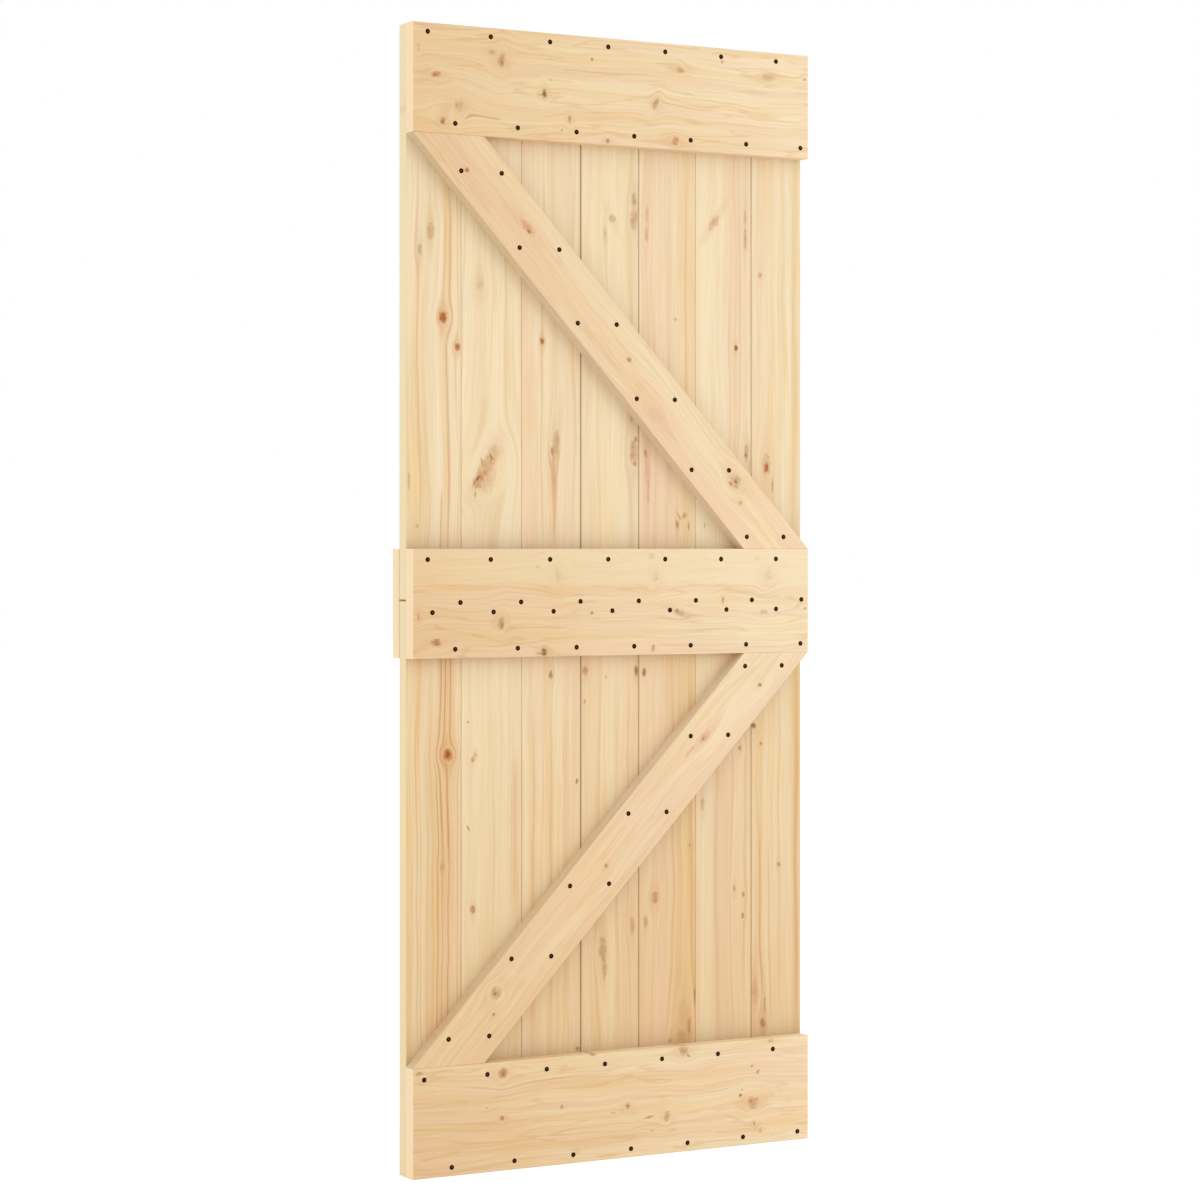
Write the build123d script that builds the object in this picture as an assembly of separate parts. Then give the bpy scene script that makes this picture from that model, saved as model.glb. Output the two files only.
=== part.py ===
"""Barn door leaf: two courses of tongue and groove boards, clamped between level rails
and two braces, all held by countersunk screws.

The leaf stands upright. Its front faces -Y, +X runs to the right and +Z up, and the
origin is on the floor, below the middle of the leaf. All sizes are in millimetres.
"""
import os

from build123d import *

# Leaf
door_width = 850
door_height = 2100
joint_height = 1050        # where the lower boards end and the upper boards start
joint_gap = 1.2            # open slit between the two courses

# Boards, laid upright with a tongue on the right edge and a groove on the left edge
board_thickness = 28
board_cover_width = 125    # width that one full board shows
end_board_least = 60       # narrowest board that is worth fitting at either side
board_seam = 0.6           # open seam at the face of the boards
board_ease = 0.8           # small bevel along the edges of each board
tongue_thickness = 8
tongue_length = 8
tongue_play = 0.3          # room around a tongue in its groove

# Rails and braces, all planed to one thickness
rail_thickness = 28
top_rail_height = 200
middle_rail_height = 200
bottom_rail_height = 200
middle_rail_drop = 6.5     # the middle rails sit this much below the joint's height
brace_cut = 146            # length of a brace's level end
timber_ease = 1.2          # small bevel around the outer face of a rail or brace

# Screws, faceted because there are so many of them
head_radius = 4.2
shank_radius = 2.0
screw_length = 50          # through a rail or brace and into the boards
tie_screw_length = 75      # through the middle rail and the boards and into the back rail
point_length = 5
screw_sides = 8
head_sink = 0.3            # how far the head lies below the face
hole_clearance = 0.1
cutter_overlap = 1         # how far a hole's cutter stands out of the face it cuts

# The drilling jig: one screw near each board's left edge in the upper row of a rail,
# and one near its right edge in the lower row
jig_lag = 1.55             # the jig's pitch falls short of the boards' by this much
upper_row_lead = 46.7      # right of the first seam
upper_row_start = 30.6     # right of the leaf's left edge
lower_row_tail = 22.3      # left of the second seam
lower_row_start = 26.1     # left of the first seam
lower_row_end = 17.5       # left of the leaf's right edge
bottom_rail_shift = -7     # the jig was set this far aside on the bottom rail

# Height of the rows: below the upper edge and above the lower edge of each rail
top_rail_rows = (16.4, 19.9)
middle_rail_rows = (19.6, 16.7)
bottom_rail_rows = (21.0, 15.3)

# Two more rows, at the middle of the leaf, hold both middle rails together
tie_row_drops = (4.6, 22.5)
tie_row_tail = 15.5        # left of each seam, and of the leaf's right edge
tie_row_lead = 52.5        # right of each seam
tie_row_start = 40.2       # right of the leaf's left edge
tie_row_end = 39.1         # right of the last seam, where the last board is narrower

# Hand-driven pairs along each brace, one pair over each seam: how far the pair's middle
# lies right of the seam, and how far above the brace's centre line
pair_spacing = 83
upper_brace_pairs = ((27.7, 6.3), (23.0, 0.7), (20.2, -3.2), (21.6, -5.5), (16.6, -8.8), (14.7, -3.7))
lower_brace_pairs = ((1.9, 5.6), (6.0, 7.8), (3.8, 6.3), (3.5, 4.3), (14.6, 2.4), (10.8, 5.2))

# Worked out from the sizes above
left, right = -door_width / 2, door_width / 2
board_front, board_back = -board_thickness / 2, board_thickness / 2
rail_front = board_front - rail_thickness
rail_back = board_back + rail_thickness

full_boards = int((door_width - 2 * end_board_least) // board_cover_width)
end_board = (door_width - full_boards * board_cover_width) / 2
seams = [left + end_board + number * board_cover_width for number in range(full_boards + 1)]

top_rail_foot = door_height - top_rail_height
middle_rail_foot = joint_height - middle_rail_drop - middle_rail_height / 2
middle_rail_top = middle_rail_foot + middle_rail_height


def box(x_span, y_span, z_span):
    """A plain block between two values of X, Y and Z."""
    (x0, x1), (y0, y1), (z0, z1) = x_span, y_span, z_span
    middle = ((x0 + x1) / 2, (y0 + y1) / 2, (z0 + z1) / 2)
    return Pos(*middle) * Box(x1 - x0, y1 - y0, z1 - z0)


# Timber

def board_section(x0, x1, grooved, tongued):
    """Section of one board, seen from above, between the middles of its two seams."""
    x0 += board_seam / 2 if grooved else 0
    x1 -= board_seam / 2 if tongued else 0
    section = Pos((x0 + x1) / 2, 0) * Rectangle(x1 - x0, board_thickness)
    section = chamfer(section.vertices(), board_ease)
    if grooved:
        depth = tongue_length - board_seam + tongue_play
        groove = Rectangle(2 * depth, tongue_thickness + 2 * tongue_play)
        section -= Pos(x0, 0) * groove
    if tongued:
        tongue = Rectangle(2 * tongue_length, tongue_thickness)
        section += Pos(x1, 0) * tongue
    return section


def board_course(z0, z1):
    """All the boards of one course, from left to right."""
    edges = [left, *seams, right]
    boards = []
    for number, (x0, x1) in enumerate(zip(edges, edges[1:])):
        section = board_section(x0, x1, grooved=number > 0, tongued=x1 < right)
        boards.append(Pos(0, 0, z0) * extrude(section, z1 - z0))
    return boards


def outer_edges(timber, y_face):
    """The edges around the face that lies away from the boards."""
    return timber.edges().filter_by_position(Axis.Y, y_face - 0.01, y_face + 0.01)


def rail(z0, z1, y_face, y_seat):
    """A level rail over the whole width, its outer face at y_face."""
    timber = box((left, right), sorted((y_face, y_seat)), (z0, z1))
    return chamfer(outer_edges(timber, y_face), timber_ease)


def brace(foot, head, foot_x, head_x):
    """A slanting brace with level ends; foot_x and head_x are the ends' left corners."""
    corners = [(foot_x, foot), (foot_x + brace_cut, foot), (head_x + brace_cut, head), (head_x, head)]
    face = make_face(Polyline(*corners, close=True))
    timber = extrude(Plane.XZ.offset(-board_front) * face, rail_thickness)
    return chamfer(outer_edges(timber, rail_front), timber_ease)


# Screws: each position is (x, z) on the outer face of the timber that the screw holds

def jig_rows(rail_foot, rail_top, margins, shift=0):
    """The two rows that fix a rail, one screw to a board in each row."""
    upper, lower = rail_top - margins[0], rail_foot + margins[1]
    spots = [(left + upper_row_start + shift, upper)]
    spots += [(x + upper_row_lead - jig_lag * n + shift, upper) for n, x in enumerate(seams)]
    spots += [(seams[0] - lower_row_start + shift, lower)]
    spots += [(x - lower_row_tail - jig_lag * n + shift, lower) for n, x in enumerate(seams[1:])]
    spots += [(right - lower_row_end + shift, lower)]
    return spots


def tie_rows():
    """The two rows that go right through to the back rail, just below the boards' joint."""
    upper, lower = (joint_height - drop for drop in tie_row_drops)
    spots = [(x - tie_row_tail, upper) for x in [*seams, right]]
    spots += [(left + tie_row_start, lower)]
    spots += [(x + tie_row_lead, lower) for x in seams[:-1]]
    spots += [(seams[-1] + tie_row_end, lower)]
    return spots


def brace_rows(foot, head, foot_x, head_x, marks):
    """A level pair of screws over each seam, close to the brace's centre line."""
    slope = (head - foot) / (head_x - foot_x)
    spots = []
    for number, seam in enumerate(seams):
        aside, above = marks[number % len(marks)]
        x = seam + aside
        z = foot + slope * (x - foot_x - brace_cut / 2) + above
        spots += [(x - pair_spacing / 2, z), (x + pair_spacing / 2, z)]
    return spots


def spike(length, grow, head_top):
    """A screw that points down Z with its head at Z = 0, or the slightly wider hole for it."""
    rim, shank = head_radius + grow, shank_radius + grow
    tip = -length - grow
    stations = [(head_top, rim + head_top), (shank - rim, shank), (tip + point_length, shank)]
    rings = [Pos(0, 0, z) * RegularPolygon(radius, screw_sides) for z, radius in stations]
    return loft([*rings, Vertex(0, 0, tip)], ruled=True)


def driven(length, spots):
    """The screws at all the spots of one timber, driven in from the front."""
    screw = spike(length, 0, 0)
    return [Pos(x, rail_front + head_sink, z) * Rot(90, 0, 0) * screw for x, z in spots]


def bored(length, spots):
    """Cutters for the holes of those screws."""
    cutter = spike(length, hole_clearance, head_sink + cutter_overlap)
    return [Pos(x, rail_front + head_sink, z) * Rot(90, 0, 0) * cutter for x, z in spots]


def drilled(timber, holes):
    """Timber with every hole that reaches it cut out."""
    extent = timber.bounding_box()
    reach = [hole for hole in holes if meets(extent, hole.bounding_box())]
    return timber - reach if reach else timber


def meets(first, second):
    """Whether two upright boxes overlap."""
    return all(low_1 < high_2 and low_2 < high_1 for low_1, high_1, low_2, high_2 in zip(
        first.min, first.max, second.min, second.max))


def main():
    upper_ends = (middle_rail_top, top_rail_foot, right - brace_cut, left)
    lower_ends = (bottom_rail_height, middle_rail_foot, left, right - brace_cut)

    screw_groups = {
        "top_rail_screws": (screw_length, jig_rows(top_rail_foot, door_height, top_rail_rows)),
        "middle_rail_screws": (screw_length, jig_rows(middle_rail_foot, middle_rail_top, middle_rail_rows)),
        "bottom_rail_screws": (screw_length,
                               jig_rows(0, bottom_rail_height, bottom_rail_rows, bottom_rail_shift)),
        "upper_brace_screws": (screw_length, brace_rows(*upper_ends, upper_brace_pairs)),
        "lower_brace_screws": (screw_length, brace_rows(*lower_ends, lower_brace_pairs)),
        "tie_screws": (tie_screw_length, tie_rows()),
    }

    timbers = {
        "top_rail": rail(top_rail_foot, door_height, rail_front, board_front),
        "middle_rail": rail(middle_rail_foot, middle_rail_top, rail_front, board_front),
        "bottom_rail": rail(0, bottom_rail_height, rail_front, board_front),
        "back_rail": rail(middle_rail_foot, middle_rail_top, rail_back, board_back),
        "upper_brace": brace(*upper_ends),
        "lower_brace": brace(*lower_ends),
    }
    for number, board in enumerate(board_course(joint_height + joint_gap / 2, door_height), 1):
        timbers[f"upper_board_{number}"] = board
    for number, board in enumerate(board_course(0, joint_height - joint_gap / 2), 1):
        timbers[f"lower_board_{number}"] = board

    nodes = {name: Compound(driven(*group)) for name, group in screw_groups.items()}
    holes = [hole for group in screw_groups.values() for hole in bored(*group)]
    for name, timber in timbers.items():
        nodes[name] = drilled(timber, holes)

    os.makedirs("parts", exist_ok=True)
    for name, shape in nodes.items():
        export_step(shape, f"parts/{name}.step")


main()
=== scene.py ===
"""Barn door leaf in planed pine: the timbers, their grain and knots, the screws and the studio."""

from collections import namedtuple
from math import atan2, cos, degrees, pi, radians, sin

import bmesh
import bpy
from mathutils import Euler, Matrix, Vector


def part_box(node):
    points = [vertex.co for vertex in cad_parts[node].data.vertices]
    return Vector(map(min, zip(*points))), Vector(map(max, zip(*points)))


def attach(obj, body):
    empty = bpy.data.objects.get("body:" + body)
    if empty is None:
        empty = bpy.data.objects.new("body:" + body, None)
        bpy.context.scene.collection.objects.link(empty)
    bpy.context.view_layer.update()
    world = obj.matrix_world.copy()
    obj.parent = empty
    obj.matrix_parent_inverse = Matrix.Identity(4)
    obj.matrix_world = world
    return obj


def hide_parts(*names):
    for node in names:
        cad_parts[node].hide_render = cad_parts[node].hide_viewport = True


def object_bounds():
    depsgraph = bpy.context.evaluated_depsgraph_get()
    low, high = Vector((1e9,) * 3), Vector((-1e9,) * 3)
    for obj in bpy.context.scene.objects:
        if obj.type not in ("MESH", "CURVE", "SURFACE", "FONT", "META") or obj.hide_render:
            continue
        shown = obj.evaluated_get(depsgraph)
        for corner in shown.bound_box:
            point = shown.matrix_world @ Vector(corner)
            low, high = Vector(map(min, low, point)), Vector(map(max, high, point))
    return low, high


bl_info = {
    "name": "Barn door leaf",
    "version": (1, 0, 0),
    "blender": (4, 5, 0),
    "location": "View3D > Sidebar > Barn door",
    "description": "Dresses a ledged and braced pine door leaf and lights it",
    "category": "Object",
}

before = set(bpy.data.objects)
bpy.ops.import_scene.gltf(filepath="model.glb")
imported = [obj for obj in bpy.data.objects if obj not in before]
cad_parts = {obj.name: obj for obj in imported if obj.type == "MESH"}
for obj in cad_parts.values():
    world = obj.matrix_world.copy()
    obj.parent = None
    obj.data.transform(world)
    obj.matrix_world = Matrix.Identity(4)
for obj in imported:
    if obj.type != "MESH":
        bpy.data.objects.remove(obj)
cad_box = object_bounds()

MM = 0.001
BOARD_NODES = [f"{course}_board_{number}" for course in ("upper", "lower") for number in range(1, 8)]
RAIL_NODES = ["top_rail", "middle_rail", "bottom_rail"]
BRACE_NODES = ["upper_brace", "lower_brace"]
SCREW_NODES = [name for name in sorted(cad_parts) if name.endswith("screws")]
SCREWS_OF = {
    "top_rail": ["top_rail_screws"],
    "middle_rail": ["middle_rail_screws", "tie_screws"],
    "bottom_rail": ["bottom_rail_screws"],
    "upper_brace": ["upper_brace_screws"],
    "lower_brace": ["lower_brace_screws"],
    "back_rail": [],
}
LEFT_END = cad_box[0].x
RAIL_FRONT = cad_box[0].y
BOARD_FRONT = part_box("upper_board_1")[0].y


def screen(red, green, blue):
    """A colour as it shows on a screen, 0 to 255, as the linear light that a shader takes."""
    return tuple(((c / 255 + 0.055) / 1.055) ** 2.4 if c > 10 else c / 255 / 12.92 for c in (red, green, blue))


# Sizes and colours that a user would change

class TimberSettings(bpy.types.PropertyGroup):
    arris: bpy.props.FloatProperty(
        name="Arris", description="Radius of the eased edge around a rail or brace",
        default=1.3 * MM, unit="LENGTH")
    ring_width: bpy.props.FloatProperty(
        name="Ring width", description="Usual width of one year's growth", default=4.2 * MM, unit="LENGTH")
    pale: bpy.props.FloatVectorProperty(
        name="Pale wood", description="The lightest early wood", subtype="COLOR", size=3,
        default=screen(252, 233, 195))
    peach: bpy.props.FloatVectorProperty(
        name="Peach wood", description="Pinkish bands along the grain", subtype="COLOR", size=3,
        default=screen(248, 214, 180))
    honey: bpy.props.FloatVectorProperty(
        name="Honey wood", description="Yellow bands along the grain", subtype="COLOR", size=3,
        default=screen(245, 212, 154))
    late: bpy.props.FloatVectorProperty(
        name="Late wood", description="The dark line that closes each ring", subtype="COLOR", size=3,
        default=screen(214, 162, 100))
    knot_brown: bpy.props.FloatVectorProperty(
        name="Brown knot", description="Heart of a plain knot", subtype="COLOR", size=3,
        default=screen(168, 102, 24))
    knot_pink: bpy.props.FloatVectorProperty(
        name="Pink knot", description="Heart of a knot with pink wood around it", subtype="COLOR", size=3,
        default=screen(206, 126, 70))
    knot_orange: bpy.props.FloatVectorProperty(
        name="Orange knot", description="Heart of a resinous knot", subtype="COLOR", size=3,
        default=screen(190, 94, 4))
    # Painted shade: the boards darken and warm towards the floor, where the light falls off
    painted_foot_shade: bpy.props.FloatVectorProperty(
        name="Painted foot shade", description="Painted shade on the boards towards the floor", subtype="COLOR",
        size=3, default=(0.9, 0.82, 0.72))
    # Painted shade: the rails and braces darken and warm towards their left end, where the light falls off
    painted_end_shade: bpy.props.FloatVectorProperty(
        name="Painted end shade", description="Painted shade on the rails and braces towards the left", subtype="COLOR",
        size=3, default=(0.885, 0.79, 0.685))
    # Painted shade on the boards along the feet of the rails and braces
    corner: bpy.props.FloatVectorProperty(
        name="Painted corner shade", description="Painted shade on the boards along the timbers", subtype="COLOR",
        size=3, default=(0.83, 0.84, 0.88))
    # Painted shade on the braces' long sides
    painted_brace_side_shade: bpy.props.FloatVectorProperty(
        name="Painted brace side shade", description="Painted shade on the braces' long edges", subtype="COLOR",
        size=3, default=(0.85, 0.91, 1.0))
    # Painted shade in the joint between the two courses of boards
    joint: bpy.props.FloatVectorProperty(
        name="Painted joint shade", description="Painted shade on the boards' edges at the joint between the courses",
        subtype="COLOR", size=3, default=(0.3, 0.22, 0.14))
    # Painted shade beside the seams and along the back rail's seat
    seam: bpy.props.FloatVectorProperty(
        name="Painted seam shade", description="Painted shade on the boards along their seams", subtype="COLOR",
        size=3, default=(0.6, 0.56, 0.5))
    # End grain tone of the rails' ends, made paler with painted light
    end_grain_and_painted_light: bpy.props.FloatVectorProperty(
        name="Cut end and painted light", description="End grain of the rails, paler with painted light", subtype="COLOR", size=3,
        default=screen(255, 229, 188))
    # Painted light on the outer edges of the first and last board
    edge: bpy.props.FloatVectorProperty(
        name="Painted board edge light", description="Painted light on the outer edges of the first and last board", subtype="COLOR", size=3,
        default=screen(244, 226, 182))


class ScrewSettings(bpy.types.PropertyGroup):
    head_radius: bpy.props.FloatProperty(
        name="Head radius", description="Radius of the countersunk head", default=4.5 * MM, unit="LENGTH")
    recess_radius: bpy.props.FloatProperty(
        name="Recess radius", description="Radius of the drive recess", default=2.0 * MM, unit="LENGTH")
    recess_depth: bpy.props.FloatProperty(
        name="Recess depth", description="Depth of the drive recess", default=1.8 * MM, unit="LENGTH")
    coat: bpy.props.FloatVectorProperty(
        name="Coat", description="Dark brown coat of the screws", subtype="COLOR", size=3,
        default=screen(108, 54, 2))


class StageSettings(bpy.types.PropertyGroup):
    floor_colour: bpy.props.FloatVectorProperty(
        name="Floor", description="Plain pale floor", subtype="COLOR", size=3, default=(0.86, 0.86, 0.86))
    sky_strength: bpy.props.FloatProperty(
        name="Sky", description="Strength of the even light from all around", subtype="FACTOR", default=0.93)
    key_strength: bpy.props.FloatProperty(
        name="Key", description="Power of the large soft lamp at the right", default=29, unit="POWER")
    side_strength: bpy.props.FloatProperty(
        name="Side", description="Power of the large soft lamp at the left", default=12.4, unit="POWER")


# Knots, read off the leaf's front: how far right of its left edge and above its foot, then the
# knot's width across the grain and its length along it, all in millimetres. Dark and halo run
# from 0 to 1: how dark its heart is, and how strongly its colour spreads along the grain

Knot = namedtuple("Knot", "right up width length dark wood halo lean", defaults=(0,))

KNOTS = {
    "top_rail": (
        Knot(47, 2007, 13, 20, 0.5, "orange", 0.3), Knot(181, 2042, 26, 14, 0.3, "brown", 0.5, 8),
        Knot(183, 2037, 14, 8, 0.4, "brown", 0.2), Knot(162, 2056, 9, 14, 0.16, "brown", 0.3),
        Knot(270, 1987, 17, 9, 0.8, "brown", 0.4), Knot(264, 1984, 4, 26, 0.3, "brown", 0.0),
        Knot(94, 1954, 22, 16, 0.2, "pink", 0.4), Knot(88, 1952, 14, 5, 0.3, "pink", 0.0),
        Knot(61, 1923, 13, 10, 0.6, "orange", 0.4), Knot(324, 1943, 14, 7, 0.5, "pink", 0.3),
        Knot(371, 2058, 6, 6, 0.6, "brown", 0.0), Knot(307, 1921, 6, 4, 0.35, "brown", 0.0),
        Knot(283, 2013, 4, 5, 0.3, "brown", 0.0), Knot(12, 2053, 14, 6, 0.18, "pink", 0.2),
        Knot(405, 1907, 10, 9, 0.5, "pink", 0.6), Knot(551, 1916, 15, 17, 0.5, "pink", 0.4),
        Knot(508, 1984, 24, 11, 0.35, "brown", 0.4, 25), Knot(562, 2052, 12, 20, 0.32, "brown", 0.4),
        Knot(758, 2052, 12, 30, 0.12, "brown", 0.2), Knot(655, 2074, 8, 5, 0.4, "pink", 0.1),
        Knot(842, 2053, 6, 8, 0.4, "brown", 0.1), Knot(66, 1938, 22, 40, 0.0, "brown", 0.0),
    ),
    "middle_rail": (
        Knot(47, 973, 13, 20, 0.5, "brown", 0.4), Knot(180, 1008, 24, 14, 0.35, "brown", 0.5, 10),
        Knot(182, 1002, 12, 7, 0.35, "pink", 0.0), Knot(270, 953, 15, 11, 0.75, "brown", 0.5),
        Knot(264, 950, 4, 22, 0.35, "brown", 0.0), Knot(299, 1090, 20, 12, 0.28, "brown", 0.4),
        Knot(296, 1102, 14, 8, 0.12, "brown", 0.3), Knot(371, 1024, 7, 7, 0.5, "brown", 0.2),
        Knot(257, 1110, 6, 6, 0.5, "brown", 0.1), Knot(12, 1020, 16, 6, 0.25, "pink", 0.2),
        Knot(508, 1093, 26, 12, 0.16, "pink", 0.5, 18), Knot(511, 1087, 8, 8, 0.35, "pink", 0.3),
        Knot(500, 1130, 12, 16, 0.25, "brown", 0.3), Knot(657, 1045, 14, 6, 0.45, "orange", 0.2),
        Knot(562, 1022, 12, 26, 0.3, "brown", 0.4, 20), Knot(556, 1026, 7, 10, 0.4, "brown", 0.1),
        Knot(503, 956, 16, 8, 0.4, "brown", 0.3), Knot(758, 1095, 30, 14, 0.2, "brown", 0.4, 20),
        Knot(762, 1088, 9, 9, 0.25, "brown", 0.2), Knot(749, 1022, 10, 18, 0.2, "brown", 0.2),
        Knot(843, 1028, 6, 8, 0.35, "brown", 0.1), Knot(735, 1126, 10, 14, 0.14, "brown", 0.2),
    ),
    "bottom_rail": (
        Knot(184, 179, 20, 18, 0.35, "orange", 0.5), Knot(185, 177, 9, 8, 0.5, "brown", 0.0),
        Knot(13, 191, 7, 14, 0.4, "brown", 0.2), Knot(182, 96, 11, 9, 0.4, "orange", 0.4),
        Knot(307, 107, 7, 6, 0.5, "brown", 0.1), Knot(373, 199, 6, 12, 0.35, "brown", 0.1),
        Knot(448, 96, 13, 10, 0.4, "orange", 0.4), Knot(493, 71, 5, 24, 0.5, "brown", 0.1, -8),
        Knot(416, 86, 4, 16, 0.25, "brown", 0.0), Knot(533, 70, 20, 12, 0.25, "brown", 0.3, 10),
        Knot(569, 191, 20, 18, 0.3, "brown", 0.5), Knot(580, 181, 5, 14, 0.3, "brown", 0.0, 30),
        Knot(725, 80, 24, 24, 0.26, "orange", 0.7), Knot(720, 84, 9, 9, 0.4, "orange", 0.3),
        Knot(696, 96, 6, 6, 0.6, "brown", 0.1), Knot(700, 106, 4, 4, 0.4, "brown", 0.0),
        Knot(722, 150, 5, 5, 0.5, "brown", 0.0), Knot(735, 138, 9, 6, 0.35, "brown", 0.1, 30),
        Knot(727, 39, 9, 5, 0.35, "brown", 0.1), Knot(741, 26, 12, 10, 0.25, "orange", 0.3),
        Knot(765, 195, 7, 14, 0.3, "pink", 0.2), Knot(670, 2, 4, 7, 0.35, "brown", 0.0),
        Knot(499, 45, 4, 6, 0.25, "brown", 0.0), Knot(150, 118, 5, 6, 0.25, "brown", 0.0),
    ),
    "upper_brace": (
        Knot(110, 1836, 9, 9, 0.5, "orange", 0.3), Knot(234, 1738, 16, 34, 0.28, "pink", 0.5),
        Knot(238, 1730, 8, 10, 0.45, "orange", 0.2), Knot(451, 1499, 9, 10, 0.5, "brown", 0.3),
        Knot(507, 1396, 26, 40, 0.05, "pink", 0.4), Knot(685, 1272, 26, 25, 0.28, "brown", 0.5),
        Knot(685, 1272, 6, 8, 0.6, "brown", 0.0), Knot(674, 1268, 5, 10, 0.4, "brown", 0.0),
        Knot(695, 1231, 9, 10, 0.3, "pink", 0.3),
    ),
    "lower_brace": (
        Knot(402, 550, 8, 9, 0.5, "pink", 0.3), Knot(169, 327, 22, 24, 0.28, "brown", 0.4),
        Knot(168, 326, 6, 6, 0.6, "brown", 0.1), Knot(165, 288, 7, 7, 0.45, "pink", 0.3),
        Knot(739, 882, 9, 9, 0.7, "orange", 0.3), Knot(616, 786, 16, 30, 0.22, "pink", 0.6),
        Knot(612, 781, 5, 9, 0.5, "brown", 0.1), Knot(583, 758, 6, 34, 0.14, "pink", 0.2),
    ),
    "upper_board_1": (
        Knot(49, 1724, 14, 30, 0.25, "brown", 0.6), Knot(28, 1690, 10, 22, 0.28, "brown", 0.5),
        Knot(75, 1568, 18, 22, 0.9, "orange", 0.6), Knot(104, 1514, 12, 14, 0.85, "orange", 0.6),
        Knot(2, 1946, 10, 22, 0.6, "orange", 0.3), Knot(6, 1267, 6, 30, 0.25, "brown", 0.3), Knot(23, 1185, 8, 9, 0.25, "brown", 0.2),
    ),
    "upper_board_2": (
        Knot(151, 1631, 14, 24, 0.12, "brown", 0.4), Knot(178, 1318, 24, 36, 0.2, "orange", 0.2, 15),
        Knot(163, 1294, 24, 48, 0.3, "orange", 0.2, 32), Knot(148, 1270, 22, 34, 0.34, "orange", 0.2, 25),
        Knot(166, 1272, 36, 52, 0.1, "orange", 0.3, 15), Knot(174, 1313, 4, 16, 0.6, "brown", 0.0, -15),
        Knot(155, 1302, 4, 20, 0.5, "brown", 0.0, -8), Knot(147, 1273, 7, 12, 0.7, "brown", 0.1, 40),
        Knot(140, 1266, 4, 12, 0.5, "brown", 0.0, 25), Knot(141, 1244, 3, 12, 0.5, "brown", 0.0),
    ),
    "upper_board_3": (
        Knot(281, 1530, 9, 13, 0.8, "orange", 0.5), Knot(309, 1338, 14, 50, 0.22, "brown", 0.5, 8),
        Knot(302, 1325, 6, 22, 0.6, "brown", 0.1), Knot(250, 1740, 12, 30, 0.22, "pink", 0.6, -20),
        Knot(306, 1285, 6, 60, 0.12, "pink", 0.5),
    ),
    "upper_board_4": (
        Knot(477, 1766, 16, 42, 0.36, "pink", 0.2), Knot(477, 1805, 10, 28, 0.3, "brown", 0.3),
        Knot(430, 1766, 14, 20, 0.25, "brown", 0.3, -25), Knot(415, 1735, 8, 40, 0.12, "brown", 0.3),
        Knot(476, 1326, 17, 46, 0.42, "pink", 0.3), Knot(481, 1350, 8, 12, 0.5, "brown", 0.1),
        Knot(479, 1305, 10, 10, 0.5, "brown", 0.1), Knot(472, 1392, 7, 24, 0.25, "pink", 0.2),
        Knot(414, 1469, 10, 10, 0.45, "brown", 0.2, -30),
    ),
    "upper_board_5": (
        Knot(502, 1325, 7, 14, 0.6, "orange", 0.4), Knot(506, 1290, 12, 60, 0.14, "pink", 0.7),
        Knot(508, 1245, 5, 50, 0.2, "pink", 0.4), Knot(572, 1190, 8, 18, 0.4, "orange", 0.4),
        Knot(588, 1206, 9, 14, 0.4, "pink", 0.3, 30), Knot(575, 1207, 5, 20, 0.3, "brown", 0.2, -30),
        Knot(597, 1187, 5, 18, 0.35, "pink", 0.2), Knot(506, 1778, 8, 36, 0.14, "brown", 0.2),
        Knot(505, 1738, 8, 36, 0.2, "pink", 0.3), Knot(568, 1581, 6, 8, 0.3, "brown", 0.1),
    ),
    "upper_board_6": (
        Knot(652, 1768, 15, 32, 0.3, "pink", 0.5, 35), Knot(703, 1530, 8, 11, 0.85, "orange", 0.5),
        Knot(727, 1328, 11, 34, 0.28, "brown", 0.4), Knot(726, 1324, 6, 10, 0.45, "brown", 0.1),
        Knot(733, 1302, 5, 26, 0.2, "brown", 0.1), Knot(633, 1188, 5, 14, 0.25, "brown", 0.1),
        Knot(724, 1780, 6, 34, 0.2, "brown", 0.2), Knot(724, 1740, 7, 40, 0.25, "brown", 0.2),
    ),
    "upper_board_7": (
        Knot(757, 1672, 9, 13, 0.4, "pink", 0.3), Knot(772, 1306, 19, 40, 0.3, "pink", 0.3),
        Knot(772, 1301, 9, 20, 0.7, "orange", 0.2), Knot(786, 1264, 5, 30, 0.35, "brown", 0.2),
    ),
    "lower_board_1": (
        Knot(85, 766, 19, 21, 0.75, "orange", 0.4), Knot(86, 765, 6, 6, 0.5, "orange", 0.0),
        Knot(75, 560, 7, 12, 0.15, "brown", 0.2),
    ),
    "lower_board_2": (
        Knot(137, 757, 8, 12, 0.5, "pink", 0.3, 20), Knot(141, 764, 9, 8, 0.3, "pink", 0.3),
        Knot(126, 825, 4, 5, 0.8, "brown", 0.0), Knot(136, 480, 10, 14, 0.5, "orange", 0.4), Knot(126, 631, 4, 14, 0.4, "brown", 0.0, -30),
    ),
    "lower_board_3": (
        Knot(299, 908, 9, 16, 0.55, "brown", 0.4), Knot(354, 708, 6, 10, 0.5, "brown", 0.2),
        Knot(356, 207, 12, 9, 0.35, "brown", 0.2), Knot(221, 700, 10, 60, 0.1, "brown", 0.3),
    ),
    "lower_board_4": (
        Knot(372, 915, 13, 16, 0.45, "orange", 0.5), Knot(416, 903, 5, 8, 0.25, "brown", 0.1),
        Knot(371, 857, 5, 9, 0.3, "brown", 0.1), Knot(482, 912, 10, 19, 0.6, "brown", 0.4),
        Knot(409, 388, 16, 50, 0.3, "brown", 0.4), Knot(413, 352, 9, 40, 0.25, "brown", 0.3),
        Knot(473, 430, 13, 34, 0.25, "pink", 0.4),
    ),
    "lower_board_5": (
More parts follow.
